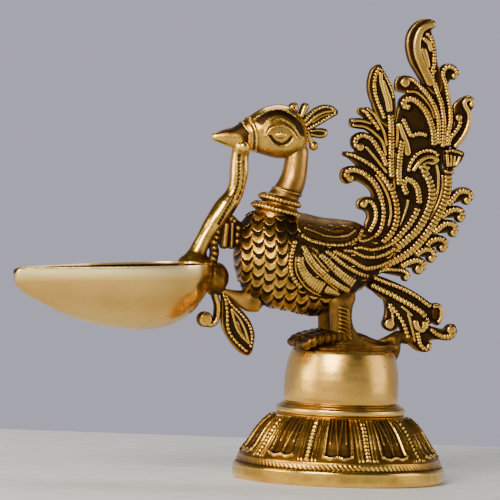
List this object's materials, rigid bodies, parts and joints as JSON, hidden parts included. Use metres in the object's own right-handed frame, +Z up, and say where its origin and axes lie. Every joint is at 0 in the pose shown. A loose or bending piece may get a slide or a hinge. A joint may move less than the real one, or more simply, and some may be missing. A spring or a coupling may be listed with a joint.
{
  "type": "standing oil lamp",
  "caption": "Standing brass oil lamp: a peacock with a scrolled tail on a drum and lotus foot holds a teardrop oil bowl from its beak.",
  "frame": {"origin": "centre of the foot, on the surface the lamp stands on", "axes": "+Z up the lamp's height; the bird faces -X, with the oil bowl at -X and the tail at +X"},
  "size_m": [0.161, 0.073, 0.1602],
  "materials": {
    "polished_brass": "polished",
    "patinated_brass": "bright high points over dark antique patina",
    "heat_tinted_brass": "satin, browned by brazing heat"
  },
  "bodies": {
    "root": {"lotus_base": "polished_brass", "collar_ring": "polished_brass", "drum": "polished_brass", "mounting_stud": "polished_brass", "mounting_nut": "polished_brass", "foot_plate": "heat_tinted_brass", "body": "patinated_brass", "left_leg": "patinated_brass", "right_leg": "patinated_brass", "left_wing": "patinated_brass", "right_wing": "patinated_brass", "back_saddle": "patinated_brass", "neck": "heat_tinted_brass", "neck_ring_upper": "patinated_brass", "neck_ring_lower": "patinated_brass", "head": "patinated_brass", "left_eye": "patinated_brass", "right_eye": "patinated_brass", "beak": "patinated_brass", "crest": "patinated_brass", "oil_bowl": "polished_brass", "stalk": "heat_tinted_brass", "bowl_boss": "heat_tinted_brass", "stalk_clasp": "patinated_brass", "breast_strut": "heat_tinted_brass", "leaf_pendant": "patinated_brass", "scroll_pendant": "patinated_brass", "tail_fan": "patinated_brass", "tail_leaf_plume": "patinated_brass", "tail_top_plume": "patinated_brass", "tail_upper_scrolls": "patinated_brass", "tail_left_leaves": "patinated_brass", "tail_left_scrolls": "patinated_brass", "tail_cuff": "patinated_brass", "tail_right_scrolls": "patinated_brass", "tail_edge_scrolls": "patinated_brass", "tail_spray": "patinated_brass", "tail_brace": "patinated_brass"}
  },
  "joints": []
}
